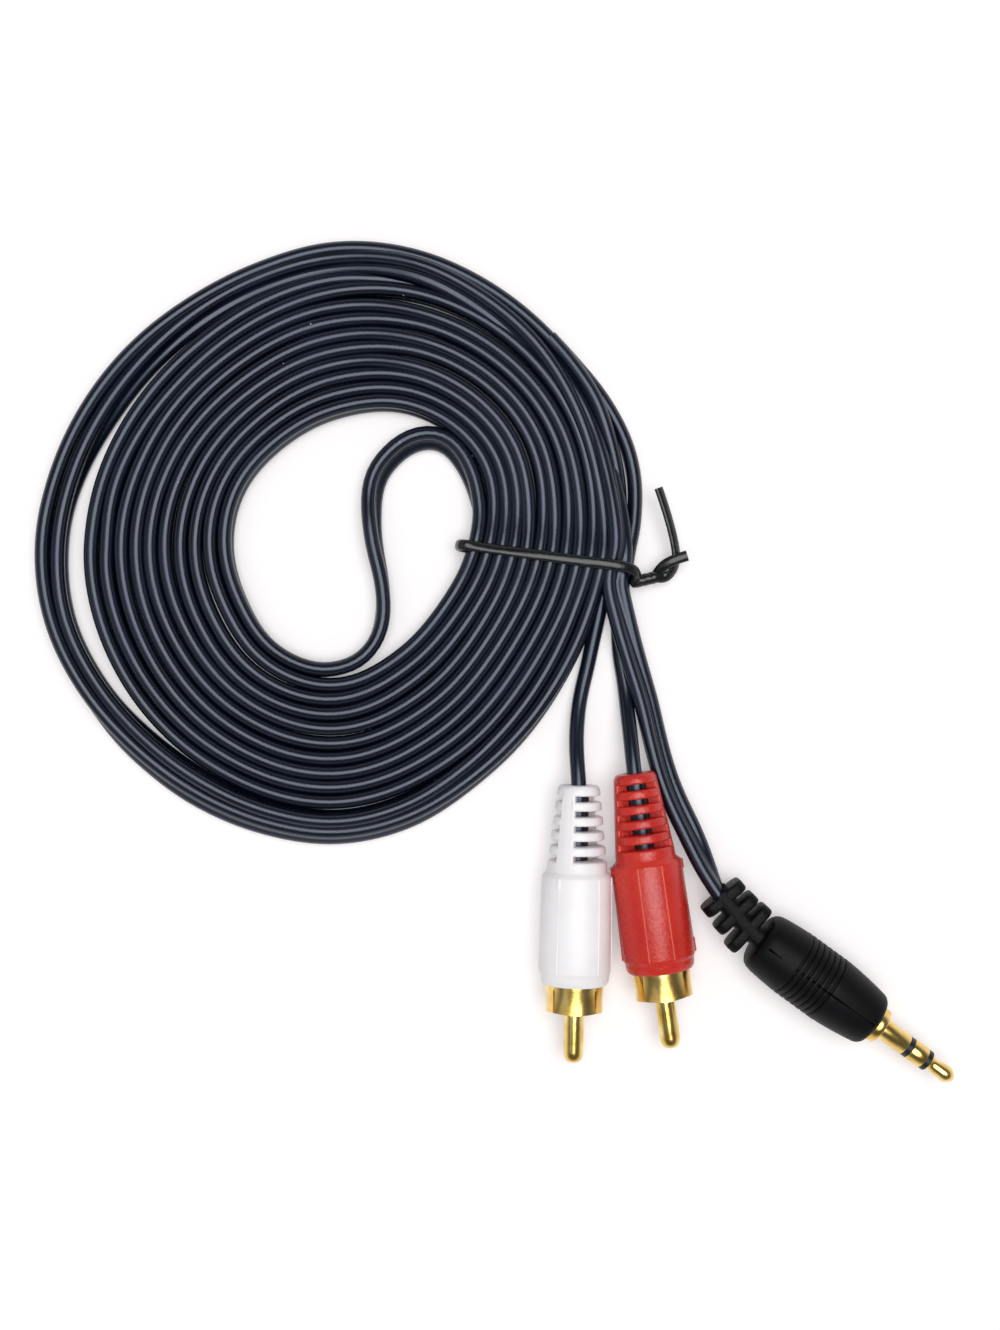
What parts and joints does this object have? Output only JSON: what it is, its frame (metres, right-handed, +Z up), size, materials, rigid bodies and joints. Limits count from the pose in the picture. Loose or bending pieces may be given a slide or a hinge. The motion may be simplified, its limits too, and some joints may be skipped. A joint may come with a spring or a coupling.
{
  "type": "stereo audio cable",
  "caption": "Wound flat twin audio cord held by a twist tie, with a red and a white phono plug at one end and a 3.5 mm stereo plug at the other.",
  "frame": {"origin": "on the table, under the middle of the box round the three plugs and the tie", "axes": "+Z up from the table; -Y is the way the phono plugs point, +X is the side of the 3.5 mm plug, and the coil lies at -X +Y"},
  "size_m": [0.1475, 0.1346, 0.0116],
  "materials": {
    "black_vinyl_cord": "satin black vinyl",
    "white_vinyl": "satin white moulded vinyl",
    "red_vinyl": "satin red moulded vinyl",
    "black_moulded_vinyl": "matte black moulded vinyl",
    "gold_plate": "bright gold plate",
    "cream_insulator": "smooth plain plastic",
    "black_insulator": "smooth black plastic",
    "tinned_copper": "bare tinned wire",
    "black_tie_plastic": "glossy black plastic"
  },
  "bodies": {
    "root": {"cord_coil": "black_vinyl_cord", "fold_upper_core": "black_vinyl_cord", "fold_lower_core": "black_vinyl_cord", "jack_tail_left_core": "black_vinyl_cord", "jack_tail_right_core": "black_vinyl_cord", "white_lead": "black_vinyl_cord", "red_lead": "black_vinyl_cord", "white_overmould": "white_vinyl", "white_shell": "gold_plate", "white_insulator": "cream_insulator", "white_centre_pin": "gold_plate", "white_signal_wire": "tinned_copper", "white_ground_wire": "tinned_copper", "red_overmould": "red_vinyl", "red_shell": "gold_plate", "red_insulator": "cream_insulator", "red_centre_pin": "gold_plate", "red_signal_wire": "tinned_copper", "red_ground_wire": "tinned_copper", "jack_overmould": "black_moulded_vinyl", "jack_sleeve_contact": "gold_plate", "jack_ring_contact": "gold_plate", "jack_tip_contact": "gold_plate", "jack_rear_insulator": "black_insulator", "jack_front_insulator": "black_insulator", "jack_tip_wire": "tinned_copper", "jack_ring_wire": "tinned_copper", "jack_ground_wire": "tinned_copper", "twist_tie": "black_tie_plastic"}
  },
  "joints": []
}
